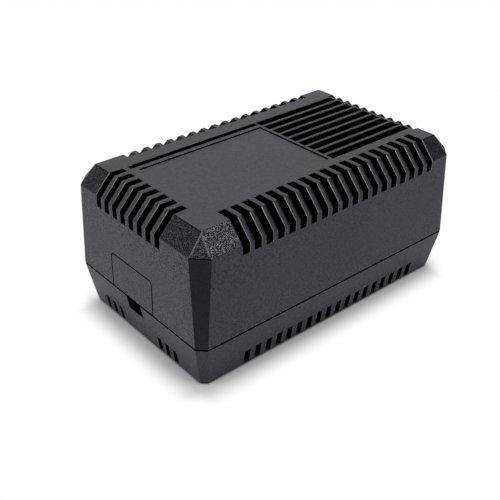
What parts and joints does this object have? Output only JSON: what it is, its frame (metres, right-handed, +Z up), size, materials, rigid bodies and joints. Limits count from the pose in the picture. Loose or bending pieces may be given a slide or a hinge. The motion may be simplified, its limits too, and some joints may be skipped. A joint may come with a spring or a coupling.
{
  "type": "injection moulded plastic housing",
  "caption": "Two-part vented plastic housing with a bevelled slotted cover, a shallow base, a top grille, a label recess and a cable notch.",
  "frame": {"origin": "on the ground under the middle of the closed housing", "axes": "+X along the length towards the grille, away from the cable end; +Y across the width towards the long narrow top slot; +Z up"},
  "size_m": [0.15, 0.09, 0.07],
  "materials": {
    "cover_plastic": "fine spark-eroded grain",
    "base_plastic": "fine spark-eroded grain",
    "screw_steel": "zinc plated"
  },
  "bodies": {
    "root": {"top_cover": "cover_plastic", "base_shell": "base_plastic", "screw_1": "screw_steel", "screw_2": "screw_steel", "screw_3": "screw_steel", "screw_4": "screw_steel"}
  },
  "joints": []
}
